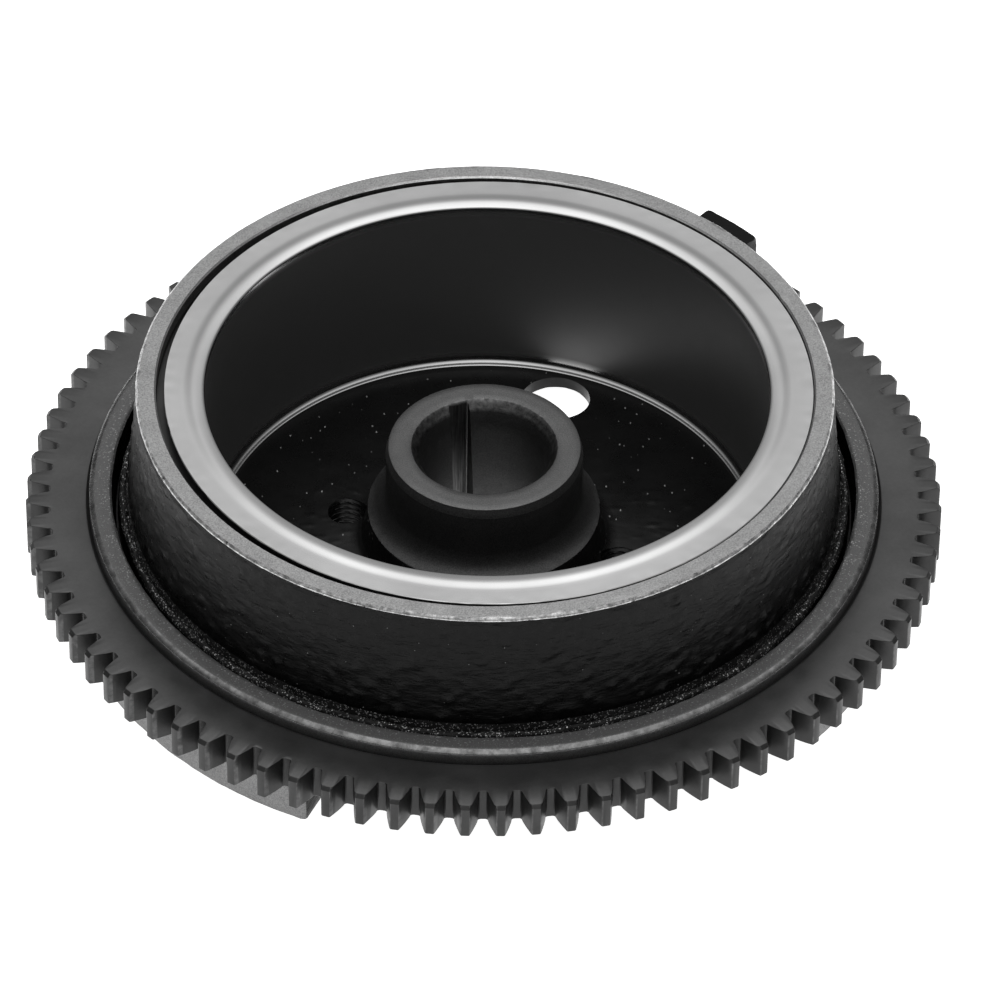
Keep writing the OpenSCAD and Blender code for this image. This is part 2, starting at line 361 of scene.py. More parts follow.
def machined(name, dark, light, rough_low, rough_high, grain_mm=0.35, ring_bump=0.012, pits=0.5,
             metallic=1.0):
    """Turned cast iron: fine grain with graphite pits, and the tool's circles."""
    f = Finish(name, Metallic=metallic)
    grain = f.noise(grain_mm, 3.0, 0.7)
    cloud = f.noise(7.0, 4.0)
    pit = f.span(f.cells(1.1), 0.0, 0.10, 1.0, 0.0)
    mottled = f.maths("ADD", f.maths("MULTIPLY", grain, 0.8), f.maths("MULTIPLY", cloud, 0.2))
    colour = f.ramp(mottled, (0.36, dark), (0.64, light))
    spotted = f.mix(f.maths("MULTIPLY", pit, pits), colour, (0.03, 0.03, 0.03, 1))
    f.bump(f.rings(0.22), ring_bump, 0.8)
    f.bump(grain, 0.03, 0.8)
    f.bump(f.maths("MULTIPLY", pit, -1.0), 0.03, pits)
    rough = f.ramp(f.noise(1.4, 3.0), (0.3, rough_low), (0.7, rough_high))
    return f.wire(Base_Color=spotted, Roughness=rough)


def rim_edge():
    """The broken edge of the rim: bare iron, with a little paint left in its hollows."""
    f = Finish("rim_edge", Specular_IOR_Level=0.3)
    colour, rough = paint_nodes(f)
    bare = f.ramp(f.noise(2.2, 3.0, 0.65), (0.28, 0.0), (0.40, 1.0))
    iron = f.ramp(f.noise(1.4, 3.0, 0.7), (0.36, 0.22), (0.66, 0.66))
    f.bump(f.noise(0.5, 3.0), 0.03, 0.4)
    return f.wire(Base_Color=f.mix(bare, colour, iron), Metallic=bare,
                  Roughness=f.mix(bare, rough, (0.38, 0.38, 0.38, 1)))


def lip_iron():
    """The lip's top face: coarse dark iron, scattered with grains painted lighter as glints."""
    f = Finish("lip_iron", Metallic=0.5)
    facet = f.facets(0.27)
    grain = f.noise(0.3, 3.0, 0.7)
    inner = f.span(f.radius(), (LIP_IN_R + 0.8) * MM, (SEAT_R - 1.2) * MM, 1.0, 0.35)
    colour = f.ramp(grain, (0.34, 0.095), (0.66, 0.16))
    # sparkle paints grains lighter as glints, strongest towards the lip's inner edge.
    sparkle = f.maths("MULTIPLY", f.ramp(facet, (0.90, 0.0), (0.98, 0.8)), inner)
    f.bump(f.rings(0.5), 0.02, 0.6)
    f.bump(facet, 0.05, 0.5)
    f.bump(grain, 0.03, 0.6)
    rough = f.ramp(facet, (0.2, 0.52), (0.95, 0.34))
    return f.wire(Base_Color=f.mix(sparkle, colour, (0.45, 0.45, 0.45, 1)), Roughness=rough)


def keyway_iron():
    """Broached iron, scored along the slot."""
    f = Finish("keyway_iron", Metallic=1.0)
    score = f.noise(0.35, 3.0, 0.6, f.stretched(1.0, 1.0, 0.03))
    f.bump(score, 0.03, 0.8)
    rough = f.ramp(f.noise(1.5), (0.3, 0.34), (0.7, 0.48))
    return f.wire(Base_Color=f.ramp(score, (0.35, 0.05), (0.65, 0.13)), Roughness=rough)


def gear_steel(name, dark, light, rough_low, rough_high):
    """Heat-darkened steel, with soft clouds of oxide and faint turning marks."""
    f = Finish(name, Metallic=0.8)
    cloud = f.noise(14.0, 4.0, 0.55)
    fine = f.noise(0.8, 3.0)
    both = f.maths("ADD", f.maths("MULTIPLY", cloud, 0.75), f.maths("MULTIPLY", fine, 0.25))
    colour = f.ramp(both, (0.35, dark), (0.65, light))
    f.bump(f.rings(0.5), 0.006, 0.6)
    f.bump(fine, 0.012, 0.5)
    rough = f.ramp(f.noise(5.0, 3.0), (0.3, rough_low), (0.7, rough_high))
    return f.wire(Base_Color=colour, Roughness=rough)


def worn_edge():
    """The teeth's arrises: the oxide rubbed off here and there."""
    f = Finish("gear_edge", Metallic=1.0)
    rubbed = f.noise(2.2, 4.0, 0.7)
    f.bump(f.noise(0.6, 2.0), 0.02, 0.5)
    return f.wire(Base_Color=f.ramp(rubbed, (0.40, 0.05), (0.70, 0.10)),
                  Roughness=f.ramp(rubbed, (0.4, 0.4), (0.65, 0.28)))


def liner_steel():
    """Deep-drawn stainless: satin on the flange, scuffed duller down the wall by the die. The wall's
    colour is also darkened: painted shade, the dark of the cup floor that it reflects.
    """
    f = Finish("liner_steel", Metallic=1.0)
    cloud = f.noise(26.0, 3.0, 0.45)
    scratch = f.noise(0.5, 2.0, 0.5, f.stretched(1.0, 1.0, 0.12))
    speck = f.span(f.cells(3.4), 0.0, 0.03, 1.0, 0.0)
    flange = f.mix(f.maths("MULTIPLY", speck, 0.6),
                   f.ramp(cloud, (0.3, 0.52), (0.7, 0.62)), (0.15, 0.15, 0.15, 1))
    f.bump(scratch, 0.003, 0.4)
    height = f.parts()[2]
    top, foot = (LINER_Z + BOSS_DROP) * MM, (7.4 + BOSS_DROP) * MM
    below = f.span(height, top - 3 * MM, top - 0.8 * MM, 1.0, 0.0)
    above = f.span(height, foot, foot + 2 * MM, 0.0, 1.0)
    dulled_and_shaded = f.maths("MULTIPLY", below, above)
    satin = f.span(f.noise(6.0, 3.0), 0.3, 0.7, 0.15, 0.19)
    rough = f.maths("ADD", satin, f.maths("MULTIPLY", dulled_and_shaded, 0.32))
    drawn = f.mix(below, flange, (0.36, 0.36, 0.36, 1))
    # Down the wall the colour drops to 0.16: painted shade.
    return f.wire(Base_Color=f.mix(dulled_and_shaded, drawn, (0.16, 0.16, 0.16, 1)), Roughness=rough,
                  Metallic=f.maths("SUBTRACT", 1.0, f.maths("MULTIPLY", dulled_and_shaded, 0.2)))


def plain_skin(name, dark, light, rough_low, rough_high, size_mm):
    """Moulded, poured or sintered stock: a mottled colour with a fine grain."""
    f = Finish(name)
    grain = f.noise(size_mm, 4.0, 0.65)
    colour = f.ramp(grain, (0.3, dark), (0.7, light))
    f.bump(grain, 0.04, 0.6)
    rough = f.ramp(f.noise(size_mm * 4), (0.3, rough_low), (0.7, rough_high))
    return f.wire(Base_Color=colour, Roughness=rough)


FINISHES = {
    "paint": black_paint(),
    "flash": flash_paint(),
    "floor": floor_paint(),
    "rim_edge": rim_edge(),
    "bevel": machined("bevel_iron", 0.08, 0.23, 0.2, 0.32, grain_mm=2.5, pits=0.2),
    "rim": machined("rim_iron", 0.24, 0.50, 0.34, 0.46, grain_mm=0.35),
    "lip": lip_iron(),
    # A lighter strip of iron for two edges: a painted highlight.
    "bright": machined("glint_edge_iron", 0.34, 0.6, 0.16, 0.26, pits=0.2),
    "hub": machined("hub_iron", 0.085, 0.175, 0.42, 0.52, 0.3, pits=0.6, metallic=0.9),
    # The flare is the hub's iron made darker: painted shade, the dark of the black floor that it
    # reflects.
    "flare": machined("flare_iron_shaded", 0.030, 0.075, 0.38, 0.48, 0.3, pits=0.5, metallic=0.75),
    "mouth": machined("mouth_iron", 0.07, 0.20, 0.32, 0.44, grain_mm=1.2, pits=0.3),
    "bore": machined("bore_iron", 0.045, 0.075, 0.42, 0.52, metallic=0.9),
    "keyway": keyway_iron(),
    "pad": machined("pad_iron", 0.10, 0.22, 0.34, 0.46, ring_bump=0.03),
    # Nearly black iron inside the tapped holes: painted shade in the recess.
    "thread": machined("thread_iron_shaded", 0.012, 0.03, 0.28, 0.4),
}
FINISH_NAMES = list(FINISHES)
CASTING_FINISHES = list(FINISHES.values())


# ---------------------------------------------------------------- casting

def flare_arc(n):
    """The concave flare from its sharp edge up to the neck."""
    centre = NECK_R + FLARE_FILLET
    end = math.acos((centre - FLARE_R) / FLARE_FILLET)
    return [(centre + FLARE_FILLET * math.cos(math.pi + end * (n - i) / n),
             FLARE_Z + FLARE_FILLET * math.sin(math.pi + end * (n - i) / n)) for i in range(n + 1)]


def wall_r(z):
    return WALL_BASE_R - (z - WALL_BASE_Z) * WALL_DRAFT


def casting_section():
    s = Section()
    cast = 0.15
    # Closed side: counterbore, machined boss, recessed web
    s.run([(BORE_SMALL_R, 0), (18, 0), (18, 0.4 - BOSS_DROP), (18.4, -BOSS_DROP),
           (BOSS_R - 0.3, -BOSS_DROP)], 7.0, "pad")
    s.run([(BOSS_R - 0.3, -BOSS_DROP), (BOSS_R + 2.4, WEB_RECESS)], 1.2, "paint", cast)
    s.run([(BOSS_R + 2.4, WEB_RECESS), (77.4, WEB_RECESS), (79.6, 0.4)], 2.6, "paint", cast)
    # Under the gear seat, and out to the pads
    s.run([(79.6, 0.4), (80.0, 0.4), (86, 0.4), (87, 1.4), (87, 2.6), (87, 7), (87.3, 8),
           (88.4, 8.9), (SEAT_R - 0.6, PAD_H - 1.5), (SEAT_R, PAD_H - 0.9)],
          3.0, "under", (0, cast, cast, cast, cast, cast, cast, cast, cast, 0),
          [(79.6, 0.4), (80.1, 0), (PAD_R - 0.6, 0), (PAD_R, 0.6), (PAD_R, 2.6), (PAD_R, 10),
           (PAD_R, PAD_H - 0.4), (PAD_R - 0.4, PAD_H), (SEAT_R + 0.6, PAD_H), (SEAT_R, PAD_H)])
    # Seat, lip and the groove with its ragged ridge of flash
    s.run([(SEAT_R, PAD_H - 0.9), (SEAT_R, GEAR_Z1 - 0.8)], 5.0, "hub",
          other=[(SEAT_R, PAD_H), (SEAT_R, GEAR_Z1 - 0.8)])
    s.run([(SEAT_R, GEAR_Z1 - 0.8), (SEAT_R, LIP_Z - 0.8)], 0.8, "hub", (0.0, 0.03))
    s.run([(SEAT_R, LIP_Z - 0.8), (SEAT_R - 0.15, LIP_Z - 0.6), (SEAT_R - 1.2, LIP_Z)], 1.0,
          "bevel", 0.03)
    s.run([(SEAT_R - 1.2, LIP_Z), (LIP_IN_R + 0.5, LIP_Z)], 0.8, "lip", (0.015, 0.09))
    s.run([(LIP_IN_R + 0.5, LIP_Z), (LIP_IN_R, LIP_Z - 0.4)], 0.4, "lip", (0.09, 0.2))
    s.run([(LIP_IN_R, LIP_Z - 0.4), (LIP_IN_R - 0.4, GROOVE_Z + 0.6), (LIP_IN_R - 0.9, GROOVE_Z),
           (86.0, GROOVE_Z)], 1.6, "paint", 0.18)
    s.run([(86.0, GROOVE_Z), (85.6, LIP_Z - 2.8)], 1.6, "paint", (0.2, 0.4))
    s.run([(85.6, LIP_Z - 2.8), (85.4, LIP_Z - 1.9), (85.0, LIP_Z - 1.4), (84.6, LIP_Z - 1.3),
           (84.2, LIP_Z - 1.5), (84.0, LIP_Z - 2.1), (WALL_BASE_R + 0.3, LIP_Z - 2.2),
           (WALL_BASE_R, WALL_BASE_Z)], 0.5, "flash", (0.4, 0.55, 0.6, 0.6, 0.5, 0.3, 0.25, cast))
    # Wall and trigger lug
    at = [WALL_BASE_Z, LUG_Z0, LUG_Z0 + 0.7, LUG_Z0 + 1.5, LUG_Z1 - 1.7, LUG_Z1 - 0.7, LUG_Z1]
    s.run([(wall_r(z), z) for z in at], 0.75, "paint", cast,
          [(WALL_BASE_R, WALL_BASE_Z), (wall_r(LUG_Z0), LUG_Z0), (LUG_R + LUG_DRAFT - 0.5, LUG_Z0),
           (LUG_R + LUG_DRAFT, LUG_Z0 + 0.5), (LUG_R, LUG_Z1 - 0.5), (LUG_R - 0.5, LUG_Z1),
           (wall_r(LUG_Z1), LUG_Z1)])
    s.run([(wall_r(LUG_Z1), LUG_Z1), (RIM_R + 0.1, RIM_Z - 0.8)], 0.5, "paint", (cast, 0.2))
    # Rim, its outer edge uneven where the tool has met the cast skin
    s.run([(RIM_R + 0.1, RIM_Z - 0.8), (RIM_R, RIM_Z - RIM_CHAMFER), (RIM_R - RIM_CHAMFER, RIM_Z)],
          0.3, "rim_edge", (0.12, 0.14, 0.08))
    s.run([(RIM_R - RIM_CHAMFER, RIM_Z), (RIM_R - 1.2, RIM_Z)], 1.0, "rim", (0.08, 0.012))
    s.run([(RIM_R - 1.2, RIM_Z), (CUP_IN_R + 0.4, RIM_Z)], 1.8, "rim", (0.012, 0.05))
    # The rim's inner edge gets the lighter strip: a painted highlight.
    s.run([(CUP_IN_R + 0.4, RIM_Z), (CUP_IN_R, RIM_Z - 0.4)], 0.3, "bright", (0.05, 0.08))
    s.run([(CUP_IN_R, RIM_Z - 0.4), (CUP_IN_R, RIM_Z - 3)], 1.5, "rim")
    s.run([(CUP_IN_R, RIM_Z - 3), (CUP_IN_R, FLOOR_Z), (66.6, FLOOR_Z)], 60.0, "hub")
    # Web floor and the cast flank of the hub
    s.run([(66.6, FLOOR_Z), (62, FLOOR_Z), (30.8, FLOOR_HUB_Z - 0.03)], 1.05, "floor",
          (0.0, 0.05, 0.05))
    s.run([(30.8, FLOOR_HUB_Z - 0.03), (29.4, FLOOR_HUB_Z + 0.3), (28.7, 8.6), (27.9, 12),
           (FLARE_R + 0.1, FLARE_Z - 6.0)], 1.2, "floor", (0.05, 0.05, 0.1, 0.12, 0.18))
    # Turned flare, neck, hub top, mouth and bore
    arc = flare_arc(10)
    s.run([(FLARE_R + 0.1, FLARE_Z - 6.0), (FLARE_R + 0.04, arc[0][1] - 0.12)], 1.0, "floor",
          (0.18, 0.12))
    # A thin lighter strip on the flare's sharp edge: a painted highlight.
    s.run([(FLARE_R + 0.04, arc[0][1] - 0.12), arc[0]], 1.0, "bright", (0.14, 0.14))
    s.run(arc, 5.0, "flare", (0.14, *([0.0] * 10)))
    s.run([arc[-1], (NECK_R, HUB_Z - 2.3)], 6.0, "flare")
    s.run([(NECK_R, HUB_Z - 2.3), (HUB_TOP_R + 0.08, HUB_Z - 0.12), (HUB_TOP_R - 0.12, HUB_Z),
           (BORE_MOUTH_R + 0.1, HUB_Z)], 2.0, "hub", (0.0, 0.0, 0.0, 0.03))
    s.run([(BORE_MOUTH_R + 0.1, HUB_Z), (BORE_MOUTH_R - 0.08, HUB_Z - 0.12),
           (BORE_BIG_R, BORE_MOUTH_Z)], 1.0, "mouth", (0.03, 0.06, 0.03))
    s.run([(BORE_BIG_R, BORE_MOUTH_Z), (BORE_SMALL_R, BORE_LAND_Z), (BORE_SMALL_R, 0)], 6.0, "bore")
    return s


EDGE_STEP = 0.09  # degrees


def shares(angles, starts, span, corner):
    """1 for columns inside any of the sectors, 0 outside, with rounded corners at their ends."""
    out = np.zeros(len(angles))
    for start in starts:
        into = (angles - start) % FULL
        inside = np.minimum(into, span - into)
        rise = np.interp(inside, [0.0, EDGE_STEP, 3 * EDGE_STEP, 8 * EDGE_STEP],
                         [0.0, 1 - corner, 1 - corner / 3, 1.0])
        out = np.maximum(out, np.where(into <= span, rise, 0.0))
    return out


def sector_stops():
    """Columns that the ends of the pads and of the lug need."""
    stops = []
    for start, span in [(a, PAD_SPAN) for a in PAD_STARTS] + [(LUG_FROM, LUG_SPAN)]:
        for end, way in ((start, 1), (start + span, -1)):
            stops += [(end + way * EDGE_STEP * k) % FULL for k in (0, 1, 3, 8)]
    return sorted(stops)


def casting_skin(points):
    """How far the sand-cast skin stands out, for a roughness of 1."""
    drawn_out = points * np.array([0.5, 0.5, 1.1])
    return (0.5 * lumps(points, 8.0, 11) + 0.5 * lumps(drawn_out, 2.2, 12)
            + 0.5 * lumps(points, 1.5, 13))


def scattered(rng, count, r, low_z, high_z, sizes, heights):
    """Centres, radii and heights of nodules spread over a band of the wall or floor."""
    z = rng.uniform(low_z, high_z, count)
    radius = r(z, rng.uniform(0, 1, count))
    centres = turned(radius, z, rng.uniform(0, FULL, count))
    return centres, rng.uniform(*sizes, count), rng.uniform(*heights, count)


def casting_grid():
    """Points of the casting before its holes, and the finish of each face."""
    s = casting_section()
    angles = spread(sector_stops(), 0.62)
    base, other = s.table(0), s.table(1)
    pads = shares(angles, PAD_STARTS, PAD_SPAN, 0.06)
    lug = shares(angles, [LUG_FROM], LUG_SPAN, 0.2)
    under = base[:, 1] < LIP_Z - 1
    share = np.where(under[:, None], pads[None, :], lug[None, :])
    rz = base[:, None] + (other - base)[:, None] * share[..., None]
    p = turned(rz[..., 0], rz[..., 1], angles[None, :])

    rng = np.random.default_rng(7)
    flat = p.reshape(-1, 3)
    skin = np.repeat(s.table(2), len(angles))
    rise = skin * casting_skin(flat)
    wall = scattered(rng, 700, lambda z, u: wall_r(z), WALL_BASE_Z, RIM_Z - 2, (0.9, 1.5), (0.08, 0.3))
    low = scattered(rng, 360, lambda z, u: wall_r(z), WALL_BASE_Z, 33, (0.9, 1.4), (0.15, 0.4))
    web = scattered(rng, 260, lambda z, u: 30 + 33 * u, 6.0, 7.0, (1.0, 1.4), (0.08, 0.22))
    for centres, radii, heights in (wall, low, web):
        rise += nodules(flat, centres, radii, heights, 1.4)
    p = (flat + grid_normals(p).reshape(-1, 3) * rise[:, None]).reshape(p.shape)
    # The facing tool has cut the rim and the boss flat
    p[..., 2] = np.clip(p[..., 2], -BOSS_DROP, RIM_Z)

    names = s.table(3)
    finish = np.repeat(np.array([FINISH_NAMES.index("paint" if n == "under" else n) for n in names]),
                       len(angles)).reshape(len(names), -1)
    outer = (names == "under") & (other[:, 0] > PAD_R - 1) & (other[:, 1] < PAD_H - 0.3)
    on_pad = (pads > 0.9) & (np.roll(pads, -1) > 0.9)
    bottom = (names == "under") & (other[:, 1] < 0.1)
    finish[np.ix_(outer | bottom, on_pad)] = FINISH_NAMES.index("pad")
    return p, finish.ravel()


def standing_at(radius, at):
    """The place of a hole's axis, from its distance and angle round the crank axis."""
    turn = math.radians(at)
    return np.array([radius * math.cos(turn), radius * math.sin(turn), 0])


def slot_cutter():
    """The keyway, with small fillets along its floor."""
    half, deep, fillet = KEY_W / 2, KEY_R, 0.35
    outline = [(2, -half), (deep - fillet, -half), (deep - 0.1, -half + 0.1), (deep, -half + fillet),
               (deep, half - fillet), (deep - 0.1, half - 0.1), (deep - fillet, half), (2, half)]
    turn = math.radians(KEY_AT)
    x = [a * math.cos(turn) - b * math.sin(turn) for a, b in outline]
    y = [a * math.sin(turn) + b * math.cos(turn) for a, b in outline]
    p = np.array([[[i, j, z] for i, j in zip(x, y)] for z in (-BOSS_DROP - 1, HUB_Z + 3)])
    return p, FINISH_NAMES.index("keyway")


def port_cutter():
    """The through hole, its edge left a little uneven by the casting."""
    angles = np.arange(0, FULL, 3.0)
    z = np.array([-2, 2.0, 2.6, 3.4, 4.2, 5.0, 5.8, 8.0])[:, None]
    p = turned(PORT_R, z, angles[None, :])
    out = lumps(p.reshape(-1, 3) + 50, 2.5, 31).reshape(z.shape[0], -1)
    p = turned(PORT_R + 0.10 * out, z, angles[None, :])
    return p + standing_at(PORT_AT_R, PORT_AT), FINISH_NAMES.index("floor")


def puller_cutter(at):
    """A tapped hole: a helical groove, with a countersink at each end."""
    angles = np.arange(0, FULL, 6.0)
    z = np.arange(-BOSS_DROP - 0.5, FLOOR_HUB_Z + 1.4, 0.15)[:, None]
    turns = z / THREAD_PITCH - angles[None, :] / FULL
    groove = 1 - 2 * np.abs(turns % 1 - 0.5)
    r = PULLER_R + THREAD_DEPTH * np.clip(groove * 1.35 - 0.2, 0, 1)
    top = PULLER_R + z - (FLOOR_HUB_Z - 0.4)
    foot = PULLER_R + 1.1 - BOSS_DROP - z
    r = np.maximum(r, np.maximum(np.minimum(top, PULLER_R + 0.6), np.minimum(foot, PULLER_R + 1.2)))
    ragged = lumps(turned(r, z, angles[None, :]).reshape(-1, 3) + 9, 1.4, 41).reshape(r.shape)
    p = turned(r + 0.10 * ragged, z, angles[None, :])
    return p + standing_at(PULLER_AT_R, at), FINISH_NAMES.index("thread")


def put_in_order(mesh):
    """Sorts a mesh's points and faces, since a cut leaves them in another order each run."""
    points = np.array([point.co for point in mesh.vertices])
    order = np.lexsort(points.T)
    place = np.empty(len(order), int)
    place[order] = np.arange(len(order))
    faces = sorted((place[list(face.vertices)].tolist(), face.material_index)
                   for face in mesh.polygons)
    mesh.clear_geometry()
    mesh.from_pydata(points[order].tolist(), [], [corners for corners, _ in faces])
    mesh.polygons.foreach_set("material_index", [finish for _, finish in faces])
    mesh.update()


def cut(ob, cutters):
    """Takes closed tubes out of ob, and leaves the result as its own mesh."""
    for i, (points, finish) in enumerate(cutters):
        rows, cols = points.shape[:2]
        faces = capped(points, grid_faces(rows, cols, wrap=False).tolist(), cols)
        tool = make(f"tool_{i}", points, faces, CASTING_FINISHES, [finish] * len(faces))
        step = ob.modifiers.new("hole", "BOOLEAN")
        step.operation, step.solver, step.object = "DIFFERENCE", "EXACT", tool
    graph = bpy.context.evaluated_depsgraph_get()
    mesh = bpy.data.meshes.new_from_object(ob.evaluated_get(graph))
    for step in list(ob.modifiers):
        bpy.data.objects.remove(step.object)
        ob.modifiers.remove(step)
    put_in_order(mesh)
    ob.data = mesh


def flywheel_casting():
    points, finish = casting_grid()
    rows, cols = points.shape[:2]
    ob = make("flywheel_casting_body", points, grid_faces(rows, cols), CASTING_FINISHES, finish)
    cut(ob, [slot_cutter(), port_cutter(), puller_cutter(PULLER_AT), puller_cutter(PULLER_AT + 180)])
    ob.data.shade_smooth()
    ob.data.set_sharp_from_angle(angle=math.radians(38))
    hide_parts("flywheel_casting")
    return ob


# ---------------------------------------------------------------- ring gear

def involute(r, base_r):
    """Involute angle, in degrees, at radius r."""
    t = math.sqrt(max(0.0, (r / base_r) ** 2 - 1))
    return math.degrees(t - math.atan(t))


def tooth_outline():
    """(radius, angle, worn) points of one tooth from its left root to its right one."""
    module = GEAR_TIP_R / (GEAR_TEETH / 2 + 1)
    pitch_r = module * GEAR_TEETH / 2
    root_r = pitch_r - 1.25 * module
    base_r = pitch_r * math.cos(math.radians(PRESSURE))

    def half(r):
        return 90 / GEAR_TEETH + involute(pitch_r, base_r) - involute(r, base_r)

    edge = 0.22
    fillet_r = root_r + 0.9
    side = [(root_r, half(fillet_r) + 0.42, 0), (root_r + 0.06, half(fillet_r) + 0.24, 0),
            (root_r + 0.24, half(fillet_r) + 0.10, 0), (root_r + 0.55, half(fillet_r) + 0.02, 0)]
    for i in range(6):
        r = root_r + 0.9 + (GEAR_TIP_R - edge - root_r - 0.9) * i / 5
        side.append((r, half(r), 0))
    tip = half(GEAR_TIP_R)
    side[-1] = (*side[-1][:2], 1)
    side.append((GEAR_TIP_R - 0.06, tip - 0.035, 1))
    side.append((GEAR_TIP_R, tip - 0.13, 0))
    left = [(r, -a, worn) for r, a, worn in side]
    right = [(r, a, worn) for r, a, worn in reversed(side)]
    return left + [(GEAR_TIP_R, 0.0, 0)] + right


def ring_gear():
    outline = tooth_outline()
    step = FULL / GEAR_TEETH
    r = np.tile([q[0] for q in outline], GEAR_TEETH)
    a = np.concatenate([GEAR_AT + step * i + np.array([q[1] for q in outline])
                        for i in range(GEAR_TEETH)])
    worn = np.tile([q[2] for q in outline], GEAR_TEETH).astype(bool)
    edge = turned(r, 0.0, a)
    along = np.roll(edge, -1, 0) - np.roll(edge, 1, 0)
    out = np.stack([along[:, 1], -along[:, 0], 0 * along[:, 0]], 1)
    out /= np.linalg.norm(out, axis=1, keepdims=True)
    wear = 0.09 + 0.05 * lumps(edge, 3.0, 51)

    def layer(z, inset, limit):
        """The toothed outline at one height, pulled in by inset and held inside a radius."""
        p = edge - out * inset[:, None]
        size = np.hypot(p[:, 0], p[:, 1])
        p = p * np.minimum(1, limit / size)[:, None]
        p[:, 2] = z
        return p

    def circle(radius, z):
        return turned(np.full(len(a), radius), z, a)

    none, chamfer, unlimited = 0 * wear, 0.8, 999
    shoulder = GEAR_TIP_R - chamfer
    seat = SEAT_R + 0.02
    rows = [circle(seat, GEAR_Z0 + 0.4), circle(seat + 0.4, GEAR_Z0), circle(GEAR_FACE_LOW_R, GEAR_Z0),
            layer(GEAR_Z0, wear, unlimited), layer(GEAR_Z0 + 0.16, none, unlimited),
            layer(GEAR_Z1 - chamfer, none, GEAR_TIP_R),
            layer(GEAR_Z1 - 0.5 * chamfer, none, GEAR_TIP_R - 0.5 * chamfer),
            layer(GEAR_Z1 - 0.10, none, shoulder + 0.10),
            layer(GEAR_Z1 - 0.03, wear * 0.35, shoulder + 0.02),
            layer(GEAR_Z1, wear, shoulder - 0.08), circle(GEAR_FACE_HIGH_R, GEAR_Z1),
            circle(seat + 1.0, GEAR_Z1), circle(seat + 0.75, GEAR_Z1 - 0.06),
            circle(seat, GEAR_Z1 - 0.7)]
    p = np.stack(rows)
    face, flank, edge_worn = range(3)
    finish = np.full(p.shape[:2], face)
    finish[3:9, :] = flank
    finish[3, :] = finish[8, :] = edge_worn
    finish[4:8, worn] = edge_worn
    # The tooth flanks take a darker copy of the face's steel: painted shade on the tooth sides.
    ob = make("ring_gear_teeth", p, grid_faces(*p.shape[:2]),
              [gear_steel("gear_steel", 0.074, 0.10, 0.31, 0.41),
               gear_steel("gear_flank_shaded", 0.028, 0.042, 0.36, 0.46), worn_edge()],
              finish.ravel(), sharp=24)
    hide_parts("ring_gear")
    return ob


# ---------------------------------------------------------------- liner

def magnet_liner():
    s = Section()
    low = LINER_Z - LINER_T
    # Walked with the metal on the left: up the back, over the flange, down the bright side
    s.run([(LINER_R - 1.7, FLOOR_Z), (LINER_R + LINER_T, FLOOR_Z), (LINER_R + LINER_T, low - 0.3),
           (LINER_R + LINER_T + 0.3, low), (LINER_RIDGE_R, low + LINER_RIDGE), (70.4, low),
           (LINER_FLANGE_R - 0.1, low)], 60.0, "liner")
    s.run([(LINER_FLANGE_R - 0.1, low), (LINER_FLANGE_R, low + 0.1),
           (LINER_FLANGE_R, LINER_Z - 0.15), (LINER_FLANGE_R - 0.15, LINER_Z)], 1.0, "liner", 0.05)
    s.run([(LINER_FLANGE_R - 0.15, LINER_Z), (70.8, LINER_Z)], 1.1, "liner", (0.03, 0))
    # A low ridge, nearly flat inside it, then a tight roll over to the wall
    ridge = [(70.8, 0.0), (70.4, 0.05), (69.9, 0.22), (69.3, 0.55), (68.8, 0.84), (68.2, 1.0),
             (67.6, 0.9), (67.0, 0.6), (66.6, 0.35), (LINER_R + 0.6, 0.1)]
    s.run([(r, LINER_Z + LINER_RIDGE * h) for r, h in ridge], 2.0, "liner")
    roll, turn = 0.6, [math.radians(90 + 18 * i) for i in range(6)]
    s.run([(LINER_R + roll, LINER_Z + LINER_RIDGE * 0.1)]
          + [(LINER_R + roll + roll * math.cos(a), LINER_Z - roll + roll * math.sin(a))
             for a in turn[1:]], 2.0, "liner")
    s.run([(LINER_R, LINER_Z - roll), (LINER_R, 7.6)], 1.6, "liner")
    foot = [(0.0, 7.6), (0.08, 7.15), (0.24, 6.75), (0.5, 6.4), (0.84, 6.16), (1.2, 6.04),
            (1.55, 6.0), (1.7, 5.85), (1.7, FLOOR_Z)]
    s.run([(LINER_R - inward, z) for inward, z in foot], 2.0, "liner")
    angles = spread([0.0], 0.6)
    base = s.table(0)
    p = turned(base[:, 0][:, None], base[:, 1][:, None], angles[None, :])
    flat = p.reshape(-1, 3)
    skin = np.repeat(s.table(2), len(angles)) * lumps(flat, 2.4, 61)
    # Drawn sheet is never quite round: a slow wave in the wall and in the flange
    wave = 0.05 * lumps(flat * np.array([1, 1, 0.35]), 30.0, 62)
    p = (flat + grid_normals(p).reshape(-1, 3) * (skin + wave)[:, None]).reshape(p.shape)
    # The flange sits further over than the wall, almost touching the cup on one side
    p[..., 0] += LINER_SHIFT + np.where(base[:, 0] > 73, FLANGE_SHIFT, 0.0)[:, None]
    ob = make("magnet_liner_shell", p, grid_faces(*p.shape[:2]), [liner_steel()], sharp=40)
    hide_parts("magnet_liner")
    return ob


# ---------------------------------------------------------------- stage

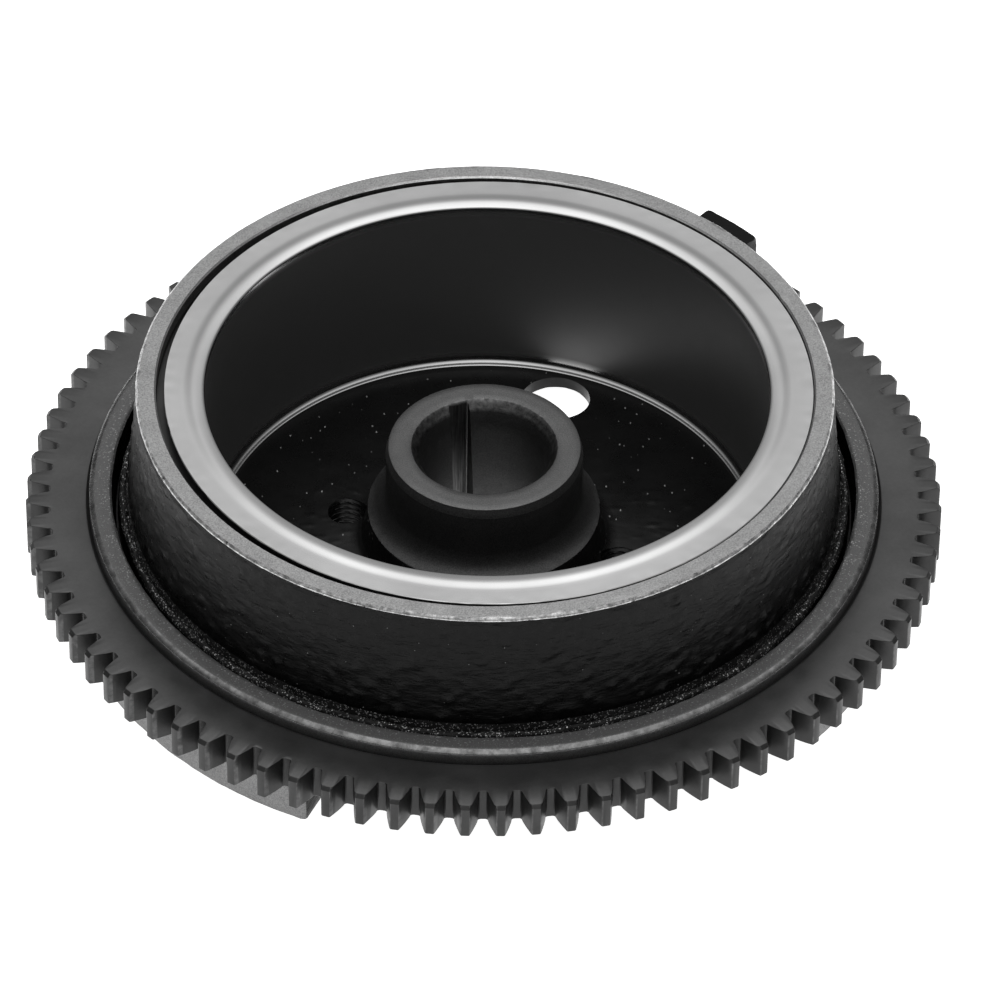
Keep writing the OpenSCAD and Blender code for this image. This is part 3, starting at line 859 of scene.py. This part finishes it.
def world_light():
    """A plain white studio: brightest overhead and along Y, dim at the horizon and to the sides."""
    world = bpy.data.worlds.new("studio")
    world.use_nodes = True
    tree = world.node_tree
    tree.nodes.clear()
    place = tree.nodes.new("ShaderNodeTexCoord")
    split = tree.nodes.new("ShaderNodeSeparateXYZ")
    aside = tree.nodes.new("ShaderNodeMath")
    aside.operation = "ABSOLUTE"
    ramp, falloff = (tree.nodes.new("ShaderNodeValToRGB") for _ in range(2))
    both = tree.nodes.new("ShaderNodeVectorMath")
    both.operation = "MULTIPLY"
    back = tree.nodes.new("ShaderNodeBackground")
    out = tree.nodes.new("ShaderNodeOutputWorld")
    tree.links.new(place.outputs["Generated"], split.inputs[0])
    tree.links.new(split.outputs["Z"], ramp.inputs["Fac"])
    tree.links.new(split.outputs["X"], aside.inputs[0])
    tree.links.new(aside.outputs[0], falloff.inputs["Fac"])
    tree.links.new(ramp.outputs["Color"], both.inputs[0])
    tree.links.new(falloff.outputs["Color"], both.inputs[1])
    tree.links.new(both.outputs[0], back.inputs["Color"])
    tree.links.new(back.outputs[0], out.inputs["Surface"])
    rising = [(0.0, 0.20), (0.30, 0.20), (0.56, 0.30), (0.70, 0.52), (0.80, 0.95), (1.0, 1.0)]
    sideways = [(0.0, 1.0), (0.09, 1.0), (0.22, 0.78), (0.6, 0.6), (1.0, 0.5)]
    for node, stops in ((ramp, rising), (falloff, sideways)):
        elements = node.color_ramp.elements
        while len(elements) < len(stops):
            elements.new(0.5)
        for element, (at, grey) in zip(elements, stops):
            element.position = at
            element.color = (grey, grey, grey, 1)
    back.inputs["Strength"].default_value = 1.75
    bpy.context.scene.world = world


def pale_floor():
    """The studio floor, which glows so that no shadow shows on it."""
    mesh = bpy.data.meshes.new("studio_floor")
    size = 6.0
    mesh.from_pydata([(-size, -size, 0), (size, -size, 0), (size, size, 0), (-size, size, 0)], [],
                     [(0, 1, 2, 3)])
    floor = bpy.data.objects.new("studio_floor", mesh)
    floor.location.z = -0.0002
    bpy.context.scene.collection.objects.link(floor)
    f = Finish("studio_white", Roughness=0.9, Specular_IOR_Level=0.1)
    f.bump(f.noise(2.0), 0.02, 0.2)
    f.shader.inputs["Emission Color"].default_value = (1, 1, 1, 1)
    f.shader.inputs["Emission Strength"].default_value = 1.0
    mesh.materials.append(f.wire(Base_Color=f.ramp(f.noise(60.0), (0.3, 0.9), (0.7, 0.92))))


def photographer():
    """A long lens from high in front, rolled a touch to one side."""
    elevation, roll, distance, lens = 41.366, 0.806, 1.7577, 269.14
    target = Matrix.Translation((0.0038, 0, 0.0187 + BOSS_DROP * MM))
    camera = bpy.data.cameras.new("camera")
    camera.lens = lens
    camera.sensor_width = 36
    camera.clip_end = 50
    ob = bpy.data.objects.new("camera", camera)
    bpy.context.scene.collection.objects.link(ob)
    ob.matrix_world = (target @ Matrix.Rotation(math.radians(90 - elevation), 4, "X")
                       @ Matrix.Rotation(math.radians(roll), 4, "Z")
                       @ Matrix.Translation((0, 0, distance)))
    bpy.context.scene.camera = ob


# ---------------------------------------------------------------- scene

for piece in (flywheel_casting(), ring_gear(), magnet_liner()):
    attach(piece, "root")

HIDDEN = {"potting_ring": plain_skin("potting_resin", 0.01, 0.02, 0.3, 0.45, 1.5),
          "magnet_spacer": plain_skin("spacer_plastic", 0.03, 0.05, 0.45, 0.6, 0.8),
          "magnet": plain_skin("magnet_ferrite", 0.05, 0.09, 0.5, 0.65, 0.5)}
for name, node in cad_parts.items():
    for start, finish in HIDDEN.items():
        if name == start or (start == "magnet" and name.startswith("magnet_") and name[-1].isdigit()):
            node.data.materials.clear()
            node.data.materials.append(finish)

world_light()
pale_floor()
photographer()
bpy.context.scene.view_settings.view_transform = "Standard"
